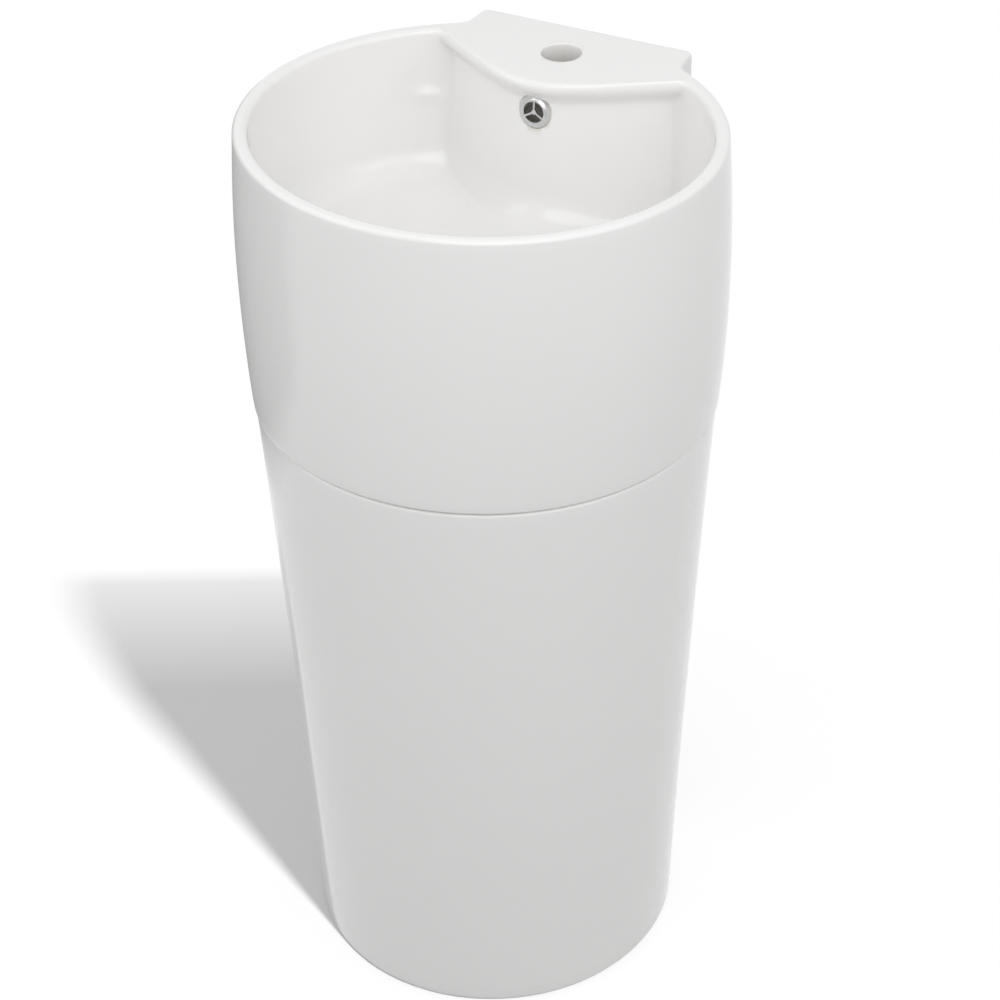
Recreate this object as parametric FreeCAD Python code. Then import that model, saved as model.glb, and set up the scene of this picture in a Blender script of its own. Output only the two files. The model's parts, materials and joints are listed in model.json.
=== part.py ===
import FreeCAD, Part
import math
import os

from FreeCAD import Matrix, Placement, Rotation, Vector

# A pedestal sink: an oval ceramic basin with a tap ledge, standing on a ceramic pedestal,
# with its pop-up waste and bottle trap inside. Millimetres. +Z is up, the front faces -Y,
# the wall lies behind at +Y, and the origin is on the floor below the middle of the sink.

# Overall
HEIGHT = 830.0
BASIN_HEIGHT = 250.0
WALL_CLEARANCE = 0.8
SEAM_GAP = 1.6

# Basin, outside. An oval is given by its half width and half depth; the ones below the rim by
# how much they differ from the one above them.
RIM_HALF_WIDTH = 206.3
RIM_HALF_DEPTH = 192.0
BELLY_DROP = 100.0
BELLY_SWELL_WIDTH = 4.4
BELLY_SWELL_DEPTH = 6.4
SKIRT_DRAW_WIDTH = 7.2
SKIRT_SWELL_DEPTH = 0.8
BACK_HALF_WIDTH = 101.0
BACK_CORNER = 8.0
RIM_ROUNDING = 4.0
SKIRT_ROUNDING = 2.5

# Basin, inside
LIP = 12.0
BOWL_DRAFT = 3.0
BOWL_DEPTH = 133.0
FLOOR_FALL = 7.0
BOWL_CORNER = 28.0
BOWL_EDGE = 5.0
VALLEY_BLEND = 9.0
LEDGE_REACH = 114.0
NOSE_WIDTH = 48.0
FLANK_SLOPE = 0.75
COVE_DEPTH = 12.0
COVE_DROP = 20.0
FACE_LEAN = 0.09
SHELL = 11.0
BOWL_SHELL = 10.0
LEDGE_THICKNESS = 22.0

# Holes in the basin
TAP_HOLE_RADIUS = 17.5
TAP_HOLE_ROUNDING = 1.2
TAP_HOLE_MARGIN = 1.5
WALL_HOLE_RADIUS = 7.0
WALL_HOLE_SPACING = 120.0
WALL_HOLE_DROP = 90.0
DRAIN_CLEARANCE = 2.05
DRAIN_SEAT_CLEARANCE = 1.0
DRAIN_SEAT_DEPTH = 3.0
BOSS_WALL = 14.0
BOSS_HEIGHT = 36.0
OVERFLOW_DROP = 33.0
OVERFLOW_CLEARANCE = 1.0
OVERFLOW_SEAT_DEPTH = 1.5
DUCT_SIDE_ROOM = 1.0
DUCT_DEPTH = 13.0
DUCT_WALL = 8.0

# Overflow trim
TRIM_RING_RADIUS = 11.0
TRIM_RING_WALL = 1.6
TRIM_BRIM = 3.5
TRIM_FLANGE = 1.8
TRIM_PROUD = 3.6
TRIM_SLEEVE = 10.0
TRIM_FIT = 0.3
TRIM_HUB_RADIUS = 2.2
TRIM_WEB = 1.6
TRIM_WEB_HEIGHT = 2.0
TRIM_WEBS = 3

# Pedestal. Its head follows the basin's lower edge; waist and foot are drawn in from the head.
HEAD_INSET = 1.9
WAIST_HEIGHT = 290.0
WAIST_DRAW_WIDTH = 17.8
WAIST_DRAW_DEPTH = 11.8
FOOT_DRAW_WIDTH = 31.1
FOOT_DRAW_DEPTH = 24.3
PEDESTAL_SHELL = 11.0
PEDESTAL_OPENING = 200.0
HEAD_ROUNDING = 3.0
FOOT_ROUNDING = 5.0
LUG_STEP = 12.0
LUG_Y = 88.0
LUG_HALF_SIZE = 20.0
LUG_HEIGHT = 14.0
FLOOR_HOLE_RADIUS = 4.5

# Gasket between basin and pedestal
GASKET_INSET = 3.5
GASKET_WIDTH = 5.5

# Waste: flanged tube through the drain hole, with its seals and backnut
WASTE_TUBE_RADIUS = 20.95
WASTE_WALL = 2.95
WASTE_STEP = 1.6
WASTE_LENGTH = 88.0
WASTE_BRIM = 11.55
WASTE_FLANGE = 2.2
WASTE_MOUTH = 1.4
WASTE_SLOT_WIDTH = 20.0
TOP_SEAL = 1.5
TOP_SEAL_SETBACK = 1.0
BOTTOM_SEAL = 4.0
BOTTOM_SEAL_LAP = 10.0
NUT_WASHER = 1.5
NUT_WASHER_SETBACK = 2.0
BACKNUT_WALL = 6.05
BACKNUT_HEIGHT = 10.0
THREAD_CLEARANCE = 0.15
SEAL_CLEARANCE = 0.3

# Pop-up plug
PLUG_RISE = 8.0
PLUG_STOP_GAP = 0.2
PLUG_CAP_SETBACK = 1.0
PLUG_RIM = 2.4
PLUG_DOME = 2.6
PLUG_EDGE = 0.8
PLUG_SEAL_HEIGHT = 4.0
PLUG_SEAL_WIDTH = 6.0
STEM_RADIUS = 4.0
STEM_RUNNING = 0.06
STEM_END = 1.5
CLIP_WALL = 2.4
CLIP_HEIGHT = 3.0
CLIP_GAP = 0.3
GUIDE_HEIGHT = 20.0
GUIDE_RING = 12.0
GUIDE_RING_WALL = 2.0
GUIDE_FIT = 0.05
GUIDE_HUB_WALL = 3.0
GUIDE_WEB = 2.4
GUIDE_WEBS = 3
SPRING_ROOM = 2.0
SPRING_SHUT = 22.0
SPRING_WIRE = 0.6
SPRING_PITCH = 3.6
SPRING_END_GAP = 0.1

# Bottle trap
PIPE_RADIUS = 16.0
PIPE_WALL = 1.6
PIPE_CLEARANCE = 0.3
TAIL_ENGAGEMENT = 16.0
INLET_WASHER = 3.0
TUBE_FLANGE = 2.5
TUBE_FLANGE_FIT = 0.35
UNION_WALL = 5.05
UNION_LIP = 8.0
GRIPS = 12
GRIP_RADIUS = 2.2
TUBE_BELOW_UNION = 18.0
NECK_WALL = 2.5
NECK_MARGIN = 4.0
COUPLING_WALL = 5.5
COUPLING_SKIRT = 16.0
COUPLING_LIP = 4.0
COUPLING_SEAL = 5.0
COUPLING_SEAL_WIDTH = 3.0
COUPLING_SEAL_FIT = 0.05
HEAD_SHOULDER = 9.5
HEAD_MARGIN = 4.5
OUTLET_MARGIN = 6.5
SPIGOT_MARGIN = 10.0
TRAP_WALL = 3.0
CUP_OVERLAP = 14.0
CUP_CORNER = 9.0
CUP_ROOM = 40.0
CUP_SEAL = 2.5
WATER_SEAL = 62.0
PIPE_ENGAGEMENT = 20.0
PIPE_MARK_GAP = 1.0
PIPE_MARK_WIDTH = 1.0
PIPE_MARK_DEPTH = 0.3

# Ovals worked out from the dimensions above
BELLY_HALF_WIDTH = RIM_HALF_WIDTH + BELLY_SWELL_WIDTH
BELLY_HALF_DEPTH = RIM_HALF_DEPTH + BELLY_SWELL_DEPTH
SKIRT_HALF_WIDTH = BELLY_HALF_WIDTH - SKIRT_DRAW_WIDTH
SKIRT_HALF_DEPTH = BELLY_HALF_DEPTH + SKIRT_SWELL_DEPTH
HEAD_HALF_WIDTH = SKIRT_HALF_WIDTH - HEAD_INSET
HEAD_HALF_DEPTH = SKIRT_HALF_DEPTH - HEAD_INSET
WAIST_HALF_WIDTH = HEAD_HALF_WIDTH - WAIST_DRAW_WIDTH
WAIST_HALF_DEPTH = HEAD_HALF_DEPTH - WAIST_DRAW_DEPTH
FOOT_HALF_WIDTH = HEAD_HALF_WIDTH - FOOT_DRAW_WIDTH
FOOT_HALF_DEPTH = HEAD_HALF_DEPTH - FOOT_DRAW_DEPTH

# Radii worked out: waste, drain hole and plug
WASTE_BORE_RADIUS = WASTE_TUBE_RADIUS - WASTE_WALL
WASTE_TAIL_RADIUS = WASTE_BORE_RADIUS - WASTE_STEP
WASTE_FLANGE_RADIUS = WASTE_TUBE_RADIUS + WASTE_BRIM
DRAIN_HOLE_RADIUS = WASTE_TUBE_RADIUS + DRAIN_CLEARANCE
DRAIN_SEAT_RADIUS = WASTE_FLANGE_RADIUS + DRAIN_SEAT_CLEARANCE
BOSS_RADIUS = DRAIN_HOLE_RADIUS + BOSS_WALL
TOP_SEAL_RADIUS = WASTE_FLANGE_RADIUS - TOP_SEAL_SETBACK
BOTTOM_SEAL_RADIUS = DRAIN_HOLE_RADIUS + BOTTOM_SEAL_LAP
NUT_WASHER_RADIUS = BOTTOM_SEAL_RADIUS - NUT_WASHER_SETBACK
PLUG_CAP_RADIUS = WASTE_FLANGE_RADIUS - PLUG_CAP_SETBACK
STEM_HEAD_RADIUS = WASTE_BORE_RADIUS - PLUG_SEAL_WIDTH
CLIP_RADIUS = STEM_RADIUS + CLIP_WALL
GUIDE_HUB_RADIUS = STEM_RADIUS + GUIDE_HUB_WALL
SPRING_RADIUS = STEM_RADIUS + SPRING_ROOM

# Radii worked out: overflow and trap
TRIM_FLANGE_RADIUS = TRIM_RING_RADIUS + TRIM_BRIM
OVERFLOW_HOLE_RADIUS = TRIM_RING_RADIUS + OVERFLOW_CLEARANCE
OVERFLOW_SEAT_RADIUS = TRIM_FLANGE_RADIUS + OVERFLOW_CLEARANCE
DUCT_HALF_WIDTH = OVERFLOW_HOLE_RADIUS + DUCT_SIDE_ROOM
UNION_RADIUS = WASTE_TUBE_RADIUS + UNION_WALL
TUBE_FLANGE_RADIUS = WASTE_TUBE_RADIUS - TUBE_FLANGE_FIT
COUPLING_SEAL_RADIUS = PIPE_RADIUS + COUPLING_SEAL_WIDTH
NECK_RADIUS = COUPLING_SEAL_RADIUS + NECK_WALL
COUPLING_RADIUS = NECK_RADIUS + COUPLING_WALL
HEAD_RADIUS = NECK_RADIUS + HEAD_SHOULDER

# Distances from front to back, worked out
WALL_PLANE = SKIRT_HALF_DEPTH + WALL_CLEARANCE
NOSE_Y = WALL_PLANE - LEDGE_REACH
DUCT_Y = NOSE_Y + COVE_DEPTH + BOWL_SHELL
TAP_HOLE_Y = DUCT_Y + DUCT_DEPTH + DUCT_WALL + TAP_HOLE_RADIUS + TAP_HOLE_MARGIN
LUG_X = PEDESTAL_OPENING / 2 + LUG_STEP
SPIGOT_END = HEAD_RADIUS + SPIGOT_MARGIN + COUPLING_SKIRT

# Heights worked out, from the rim down
LEDGE_UNDERSIDE = HEIGHT - LEDGE_THICKNESS
OVERFLOW_Z = HEIGHT - OVERFLOW_DROP
FLOOR_Z = HEIGHT - BOWL_DEPTH
DRAIN_Z = FLOOR_Z - FLOOR_FALL
SEAT_Z = DRAIN_Z - DRAIN_SEAT_DEPTH
BOSS_Z = SEAT_Z - BOSS_HEIGHT
DUCT_Z = BOSS_Z + DUCT_WALL
SKIRT_Z = HEIGHT - BASIN_HEIGHT
PEDESTAL_TOP = SKIRT_Z - SEAM_GAP
WASTE_TOP = SEAT_Z + TOP_SEAL + WASTE_FLANGE
WASTE_END = WASTE_TOP - WASTE_LENGTH
PLUG_Z = WASTE_TOP + PLUG_STOP_GAP + PLUG_RISE
GUIDE_TOP = WASTE_TOP - PLUG_SEAL_HEIGHT - SPRING_SHUT
GUIDE_END = GUIDE_TOP - GUIDE_HEIGHT
UNION_TOP = WASTE_END + TAIL_ENGAGEMENT
TUBE_TOP = WASTE_END - INLET_WASHER
UNION_END = TUBE_TOP - TUBE_FLANGE - UNION_LIP
NECK_TOP = UNION_END - TUBE_BELOW_UNION
HEAD_TOP = NECK_TOP - COUPLING_SKIRT - NECK_MARGIN
OUTLET_Z = HEAD_TOP - NECK_RADIUS - OUTLET_MARGIN
HEAD_END = OUTLET_Z - NECK_RADIUS - HEAD_MARGIN - CUP_OVERLAP
CUP_TOP = HEAD_END + CUP_OVERLAP
TUBE_END = OUTLET_Z - PIPE_RADIUS - WATER_SEAL
CUP_END = TUBE_END - CUP_ROOM

# Rows of control points in the bowl's surface
RING_POINTS = 120
EDGE_ROWS = 4
WALL_ROWS = 12
CORNER_ROWS = 5
FLOOR_ROWS = 4

# Far past the sink, past a face that a cut opens, and as good as equal
FAR = 1000.0
OVERCUT = 1.0
NEAR = 0.01

AXIS = Vector(0, 0, 0)
UP = Vector(0, 0, 1)
BACKWARD = Vector(0, 1, 0)
QUARTER_TURN = math.pi / 2


# Basic shapes

def oval(half_width, half_depth, z):
    """Level oval wire that starts on the +X side."""
    stretch = Matrix()
    stretch.scale(half_width, half_depth, 1.0)
    wire = Part.Wire(Part.makeCircle(1.0)).transformGeometry(stretch)
    wire.translate(Vector(0, 0, z))
    return wire


def disc(radius, z_low, z_high):
    """Upright cylinder on the axis of the sink."""
    return Part.makeCylinder(radius, z_high - z_low, Vector(0, 0, z_low), UP)


def ring(outer, inner, z_low, z_high):
    """Upright tube on the axis of the sink."""
    return disc(outer, z_low, z_high).cut(disc(inner, z_low, z_high))


def turned(points):
    """Solid turned about the axis of the sink from a closed outline of (radius, z) points."""
    outline = Part.makePolygon([Vector(r, 0, z) for r, z in points + points[:1]])
    return Part.Face(outline).revolve(AXIS, UP, 360)


def block(x, y_low, y_high, z_low, z_high):
    """Box of half width x either side of the middle plane."""
    size = (2 * x, y_high - y_low, z_high - z_low)
    return Part.makeBox(*size, Vector(-x, y_low, z_low))


def spokes(count, thickness, inner, outer, z_low, z_high):
    """Equal upright webs between two radii, as one solid per web."""
    webs = []
    for index in range(count):
        size = (outer - inner, thickness, z_high - z_low)
        web = Part.makeBox(*size, Vector(inner, -thickness / 2, z_low))
        web.rotate(AXIS, UP, 90 + index * 360 / count)
        webs.append(web)
    return webs


def grips(radius, z_low, z_high):
    """Upright grooves for the fingers round the outside of a nut."""
    grooves = []
    for index in range(GRIPS):
        angle = 2 * math.pi * index / GRIPS
        place = Vector(radius * math.cos(angle), radius * math.sin(angle), z_low)
        grooves.append(Part.makeCylinder(GRIP_RADIUS, z_high - z_low, place, UP))
    return grooves


def aimed(shape, origin, direction):
    """Turn a shape built along +Z from the origin so that it points along a direction."""
    shape = shape.copy()
    shape.Placement = Placement(origin, Rotation(UP, direction))
    return shape


# The bowl

def back_face_y(z):
    """Y of the face below the tap ledge on the middle plane: a cove, then a straight lean."""
    drop = max(HEIGHT - BOWL_EDGE - z, 0.0)
    if drop <= COVE_DROP:
        return NOSE_Y + COVE_DEPTH * (1 - math.cos(math.pi * drop / COVE_DROP)) / 2
    return NOSE_Y + COVE_DEPTH - FACE_LEAN * (drop - COVE_DROP)


def oval_radius(half_width, half_depth, angle):
    """Distance from the axis to an oval in one direction."""
    return 1 / math.hypot(math.cos(angle) / half_width, math.sin(angle) / half_depth)


def ledge_radius(nose_y, angle):
    """Distance from the axis to the ledge's front, a hyperbola with its apex at nose_y."""
    centre = nose_y - FLANK_SLOPE * NOSE_WIDTH
    spread = math.sin(angle) ** 2 - (FLANK_SLOPE * math.cos(angle)) ** 2
    if math.sin(angle) <= 0 or spread <= NEAR:
        return FAR
    rest = centre ** 2 - (FLANK_SLOPE * NOSE_WIDTH) ** 2
    root = (centre * math.sin(angle)) ** 2 - spread * rest
    return (centre * math.sin(angle) + math.sqrt(max(root, 0.0))) / spread


def bowl_radius(angle, z, grow):
    """Radius of the upright bowl wall: the lesser of oval and ledge, blended in the valleys."""
    draft = BOWL_DRAFT * (HEIGHT - z) / BOWL_DEPTH
    inset = LIP + draft - grow
    wall = oval_radius(RIM_HALF_WIDTH - inset, RIM_HALF_DEPTH - inset, angle)
    ledge = ledge_radius(back_face_y(z) + grow, angle)
    return (wall + ledge - math.hypot(wall - ledge, VALLEY_BLEND)) / 2


def bowl_ring(z, inset, share, grow):
    """One level row of the bowl, drawn in towards a round drain by a share of its size."""
    row = []
    for index in range(RING_POINTS):
        angle = 2 * math.pi * index / RING_POINTS
        wall = bowl_radius(angle, max(z, FLOOR_Z), grow) - inset
        radius = wall + (DRAIN_SEAT_RADIUS - wall) * share
        row.append(Vector(radius * math.cos(angle), radius * math.sin(angle), z))
    return row


def bowl_rows(grow):
    """Level rows from the rim's rounded edge down the wall, round the corner and to the drain."""
    rows = []
    for step in range(EDGE_ROWS + 1):
        lean = QUARTER_TURN * step / EDGE_ROWS
        outset = BOWL_EDGE * (1 - math.sin(lean))
        rows.append(bowl_ring(HEIGHT - BOWL_EDGE * (1 - math.cos(lean)), -outset, 0, grow))
    corner = BOWL_CORNER + grow
    floor = FLOOR_Z - grow
    straight = HEIGHT - BOWL_EDGE - floor - corner
    for step in range(1, WALL_ROWS + 1):
        rows.append(bowl_ring(HEIGHT - BOWL_EDGE - straight * step / WALL_ROWS, 0, 0, grow))
    for step in range(1, CORNER_ROWS + 1):
        lean = QUARTER_TURN * step / CORNER_ROWS
        rows.append(bowl_ring(floor + corner * (1 - math.sin(lean)), corner * (1 - math.cos(lean)), 0, grow))
    for step in range(1, FLOOR_ROWS + 1):
        share = step / FLOOR_ROWS
        rows.append(bowl_ring(floor - FLOOR_FALL * share, corner, share, grow))
    return rows


def smooth_solid(rows):
    """Closed solid with one smooth side shaped by rows of control points, and level ends."""
    inner_knots = len(rows) - 3
    across = [4] + [1] * (inner_knots - 1) + [4]
    around = [1] * (RING_POINTS + 1)
    surface = Part.BSplineSurface()
    surface.buildFromPolesMultsKnots(
        rows, across, around, list(range(inner_knots + 1)), list(range(RING_POINTS + 1)),
        False, True, 3, 3)
    side = surface.toShape()
    ends = [Part.Face(Part.Wire(edge)) for edge in side.Edges if edge.BoundBox.ZLength < NEAR]
    shell = Part.Shell([side] + ends)
    shell.sewShape()
    solid = Part.Solid(shell)
    return solid if solid.Volume > 0 else solid.reversed()


def bowl_space(grow):
    """The hollow of the bowl, or, grown by a wall, the outside of the bowl's own shell."""
    return smooth_solid(bowl_rows(grow))


# Basin

def barrel(inset):
    """The basin's oval outside, which bulges a little between its rim and its lower edge."""
    return Part.makeLoft([
        oval(SKIRT_HALF_WIDTH - inset, SKIRT_HALF_DEPTH - inset, SKIRT_Z),
        oval(BELLY_HALF_WIDTH - inset, BELLY_HALF_DEPTH - inset, HEIGHT - BELLY_DROP),
        oval(RIM_HALF_WIDTH - inset, RIM_HALF_DEPTH - inset, HEIGHT)], True, False)


def level_edges(shape, z):
    """Edges of a shape that lie in one level plane."""
    return [e for e in shape.Edges
            if abs(e.BoundBox.ZMin - z) < NEAR and abs(e.BoundBox.ZMax - z) < NEAR]


def wall_corners(shape):
    """Upright edges of a block that lie in the plane of the wall."""
    return [e for e in shape.Edges
            if e.BoundBox.ZLength > NEAR and e.BoundBox.XLength < NEAR
            and abs(e.BoundBox.Center.y - WALL_PLANE) < NEAR]


def basin_outside():
    """Barrel joined to a flat-backed block that stands against the wall, with soft edges."""
    back = block(BACK_HALF_WIDTH, 0, WALL_PLANE, SKIRT_Z, HEIGHT)
    body = barrel(0).fuse(back.makeFillet(BACK_CORNER, wall_corners(back)))
    body = body.makeFillet(RIM_ROUNDING, level_edges(body, HEIGHT))
    return body.makeFillet(SKIRT_ROUNDING, level_edges(body, SKIRT_Z))


def duct(wall):
    """Overflow way behind the bowl and below its floor, grown by a wall."""
    half = DUCT_HALF_WIDTH + wall
    back = DUCT_Y + DUCT_DEPTH + wall
    fall = block(half, DUCT_Y - wall, back, DUCT_Z - wall, OVERFLOW_Z + OVERFLOW_HOLE_RADIUS + wall)
    run = block(half, 0, back, DUCT_Z - wall, DUCT_Z + DUCT_DEPTH + wall)
    return fall.fuse(run)


def basin_hollow():
    """Space under the bowl and behind it, open below, round the drain boss and the duct."""
    back = block(BACK_HALF_WIDTH - SHELL, 0, WALL_PLANE - SHELL, SKIRT_Z, LEDGE_UNDERSIDE)
    below_ledge = block(FAR, -FAR, FAR, SKIRT_Z, LEDGE_UNDERSIDE)
    space = barrel(SHELL).common(below_ledge).fuse(back)
    boss = disc(BOSS_RADIUS, BOSS_Z, FLOOR_Z)
    return space.cut([bowl_space(BOWL_SHELL), boss, duct(DUCT_WALL)])


def overflow_direction():
    """Direction that the face round the overflow looks in, out of the ceramic."""
    step = 1.0
    lean = (back_face_y(OVERFLOW_Z + step) - back_face_y(OVERFLOW_Z - step)) / (2 * step)
    return Vector(0, -1, lean).normalize()


def overflow_place():
    """Middle of the flat seat round the overflow hole."""
    face = Vector(0, back_face_y(OVERFLOW_Z), OVERFLOW_Z)
    return face - overflow_direction() * OVERFLOW_SEAT_DEPTH


def overflow_cuts():
    """Flat seat for the overflow trim, and the hole behind it into the duct."""
    seat = Part.makeCylinder(OVERFLOW_SEAT_RADIUS, COVE_DEPTH)
    depth = DUCT_Y + DUCT_DEPTH / 2 - back_face_y(OVERFLOW_Z)
    hole = Part.makeCylinder(OVERFLOW_HOLE_RADIUS, depth, Vector(0, 0, -depth))
    return aimed(seat.fuse(hole), overflow_place(), overflow_direction())


def basin():
    """The ceramic basin, one piece."""
    tap_hole = Part.makeCylinder(
        TAP_HOLE_RADIUS, LEDGE_THICKNESS + 2 * OVERCUT, Vector(0, TAP_HOLE_Y, LEDGE_UNDERSIDE - OVERCUT))
    hole = disc(DRAIN_HOLE_RADIUS, BOSS_Z - OVERCUT, DRAIN_Z)
    drain = hole.fuse(disc(DRAIN_SEAT_RADIUS, SEAT_Z, DRAIN_Z + OVERCUT))
    wall_holes = [
        Part.makeCylinder(
            WALL_HOLE_RADIUS, SHELL + 2 * OVERCUT,
            Vector(side * WALL_HOLE_SPACING / 2, WALL_PLANE - SHELL - OVERCUT, HEIGHT - WALL_HOLE_DROP),
            BACKWARD)
        for side in (-1, 1)]
    cuts = [bowl_space(0), basin_hollow(), tap_hole, drain, duct(0), overflow_cuts()]
    body = basin_outside().cut(cuts + wall_holes)
    around = 2 * math.pi * TAP_HOLE_RADIUS
    mouth = [e for e in level_edges(body, HEIGHT) if abs(e.Length - around) < NEAR]
    return body.makeFillet(TAP_HOLE_ROUNDING, mouth)


def overflow_ring():
    """Chromed trim of the overflow: flange, raised ring, sleeve and a plain three-web grille."""
    inner = TRIM_RING_RADIUS - TRIM_RING_WALL
    flange = ring(TRIM_FLANGE_RADIUS, inner, TRIM_FIT, TRIM_FIT + TRIM_FLANGE)
    tube = ring(TRIM_RING_RADIUS, inner, -TRIM_SLEEVE, TRIM_FIT + TRIM_PROUD)
    low = TRIM_PROUD - TRIM_WEB_HEIGHT
    hub = disc(TRIM_HUB_RADIUS, low, TRIM_PROUD)
    webs = spokes(TRIM_WEBS, TRIM_WEB, 0, inner + TRIM_RING_WALL / 2, low, TRIM_PROUD)
    return aimed(flange.fuse([tube, hub] + webs), overflow_place(), overflow_direction())


# Pedestal

def column(inset):
    """The pedestal's oval outside, which flares gently towards the basin."""
    return Part.makeLoft([
        oval(FOOT_HALF_WIDTH - inset, FOOT_HALF_DEPTH - inset, 0),
        oval(WAIST_HALF_WIDTH - inset, WAIST_HALF_DEPTH - inset, WAIST_HEIGHT),
        oval(HEAD_HALF_WIDTH - inset, HEAD_HALF_DEPTH - inset, PEDESTAL_TOP)], True, False)


def pedestal():
    """Ceramic shell, open at the back, with two lugs for floor screws inside its foot."""
    outside = column(0)
    outside = outside.makeFillet(HEAD_ROUNDING, level_edges(outside, PEDESTAL_TOP))
    outside = outside.makeFillet(FOOT_ROUNDING, level_edges(outside, 0))
    opening = block(PEDESTAL_OPENING / 2, LUG_Y, FAR, 0, PEDESTAL_TOP)
    shell = outside.cut([column(PEDESTAL_SHELL), opening])
    for side in (-1, 1):
        middle = Vector(side * LUG_X, LUG_Y, 0)
        lug = Part.makeBox(FAR, 2 * LUG_HALF_SIZE, LUG_HEIGHT, Vector(-LUG_HALF_SIZE, -LUG_HALF_SIZE, 0))
        if side < 0:
            lug.rotate(AXIS, UP, 180)
        lug.translate(middle)
        hole = Part.makeCylinder(FLOOR_HOLE_RADIUS, LUG_HEIGHT + 2 * OVERCUT, middle - UP * OVERCUT)
        shell = shell.fuse(lug.common(column(PEDESTAL_SHELL / 2))).cut(hole)
    return shell


def basin_gasket():
    """Flat strip between pedestal and basin, set back from the outside."""
    def outline(inset, z):
        return oval(HEAD_HALF_WIDTH - inset, HEAD_HALF_DEPTH - inset, z)
    outer = Part.Face(outline(GASKET_INSET, PEDESTAL_TOP))
    inner = Part.Face(outline(GASKET_INSET + GASKET_WIDTH, PEDESTAL_TOP))
    strip = outer.cut(inner).extrude(UP * SEAM_GAP)
    opening = block(PEDESTAL_OPENING / 2, LUG_Y, FAR, PEDESTAL_TOP, SKIRT_Z)
    return strip.cut(opening)


# Waste

def waste_body():
    """Flanged tube with two overflow slots; its bore steps in to carry the plug guide."""
    tube = turned([
        (WASTE_TAIL_RADIUS, WASTE_END),
        (WASTE_TUBE_RADIUS, WASTE_END),
        (WASTE_TUBE_RADIUS, WASTE_TOP - WASTE_FLANGE),
        (WASTE_FLANGE_RADIUS, WASTE_TOP - WASTE_FLANGE),
        (WASTE_FLANGE_RADIUS, WASTE_TOP),
        (WASTE_BORE_RADIUS + WASTE_MOUTH, WASTE_TOP),
        (WASTE_BORE_RADIUS, WASTE_TOP - WASTE_MOUTH),
        (WASTE_BORE_RADIUS, GUIDE_END),
        (WASTE_TAIL_RADIUS, GUIDE_END)])
    edge = level_edges(tube, WASTE_TOP)
    tube = tube.makeFillet(WASTE_FLANGE / 2, [max(edge, key=lambda e: e.Length)])
    slots = block(WASTE_SLOT_WIDTH / 2, -BOSS_RADIUS, BOSS_RADIUS, DUCT_Z, DUCT_Z + DUCT_DEPTH)
    return tube.cut(slots)


def waste_top_seal():
    """Ring under the waste's flange."""
    return ring(TOP_SEAL_RADIUS, WASTE_TUBE_RADIUS + SEAL_CLEARANCE, SEAT_Z, SEAT_Z + TOP_SEAL)


def waste_bottom_seal():
    """Thick ring under the drain boss."""
    return ring(BOTTOM_SEAL_RADIUS, WASTE_TUBE_RADIUS + SEAL_CLEARANCE, BOSS_Z - BOTTOM_SEAL, BOSS_Z)


def waste_nut_washer():
    """Slip washer between the bottom seal and the backnut."""
    top = BOSS_Z - BOTTOM_SEAL
    return ring(NUT_WASHER_RADIUS, WASTE_TUBE_RADIUS + SEAL_CLEARANCE, top - NUT_WASHER, top)


def waste_backnut():
    """Hexagonal nut that clamps the waste to the basin."""
    top = BOSS_Z - BOTTOM_SEAL - NUT_WASHER
    reach = 2 * (WASTE_TUBE_RADIUS + BACKNUT_WALL) / math.sqrt(3)
    corners = [
        Vector(reach * math.cos(math.pi / 3 * k), reach * math.sin(math.pi / 3 * k), top - BACKNUT_HEIGHT)
        for k in range(7)]
    hexagon = Part.Face(Part.makePolygon(corners)).extrude(UP * BACKNUT_HEIGHT)
    bore = WASTE_TUBE_RADIUS + THREAD_CLEARANCE
    return hexagon.cut(disc(bore, top - BACKNUT_HEIGHT, top))


def waste_guide():
    """Spoked guide that the plug's stem slides in."""
    outer = WASTE_BORE_RADIUS - GUIDE_FIT
    rim = ring(outer, outer - GUIDE_RING_WALL, GUIDE_END, GUIDE_END + GUIDE_RING)
    hub = disc(GUIDE_HUB_RADIUS, GUIDE_END, GUIDE_TOP)
    webs = spokes(GUIDE_WEBS, GUIDE_WEB, 0, outer - GUIDE_RING_WALL / 2, GUIDE_END, GUIDE_END + GUIDE_RING)
    return rim.fuse([hub] + webs).cut(disc(STEM_RADIUS + STEM_RUNNING, GUIDE_END, GUIDE_TOP))


# Plug, drawn in its raised place

def plug_cap():
    """Domed chromed cap that covers the drain."""
    edge = PLUG_Z + PLUG_RIM
    crown = Part.Arc(
        Vector(-PLUG_CAP_RADIUS, 0, edge), Vector(0, 0, edge + PLUG_DOME), Vector(PLUG_CAP_RADIUS, 0, edge))
    curve = crown.toShape()
    half = [
        Part.makeLine(Vector(0, 0, PLUG_Z), Vector(PLUG_CAP_RADIUS, 0, PLUG_Z)),
        Part.makeLine(Vector(PLUG_CAP_RADIUS, 0, PLUG_Z), Vector(PLUG_CAP_RADIUS, 0, edge)),
        Part.Edge(curve.Curve, (curve.FirstParameter + curve.LastParameter) / 2, curve.LastParameter),
        Part.makeLine(Vector(0, 0, edge + PLUG_DOME), Vector(0, 0, PLUG_Z))]
    outline = Part.Wire(Part.sortEdges(half)[0])
    cap = Part.Face(outline).revolve(AXIS, UP, 360)
    return cap.makeFillet(PLUG_EDGE, level_edges(cap, edge))


def plug_seal():
    """Ring under the cap that closes the waste's bore."""
    outer = WASTE_BORE_RADIUS - SEAL_CLEARANCE
    return ring(outer, STEM_HEAD_RADIUS, PLUG_Z - PLUG_SEAL_HEIGHT, PLUG_Z)


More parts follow.
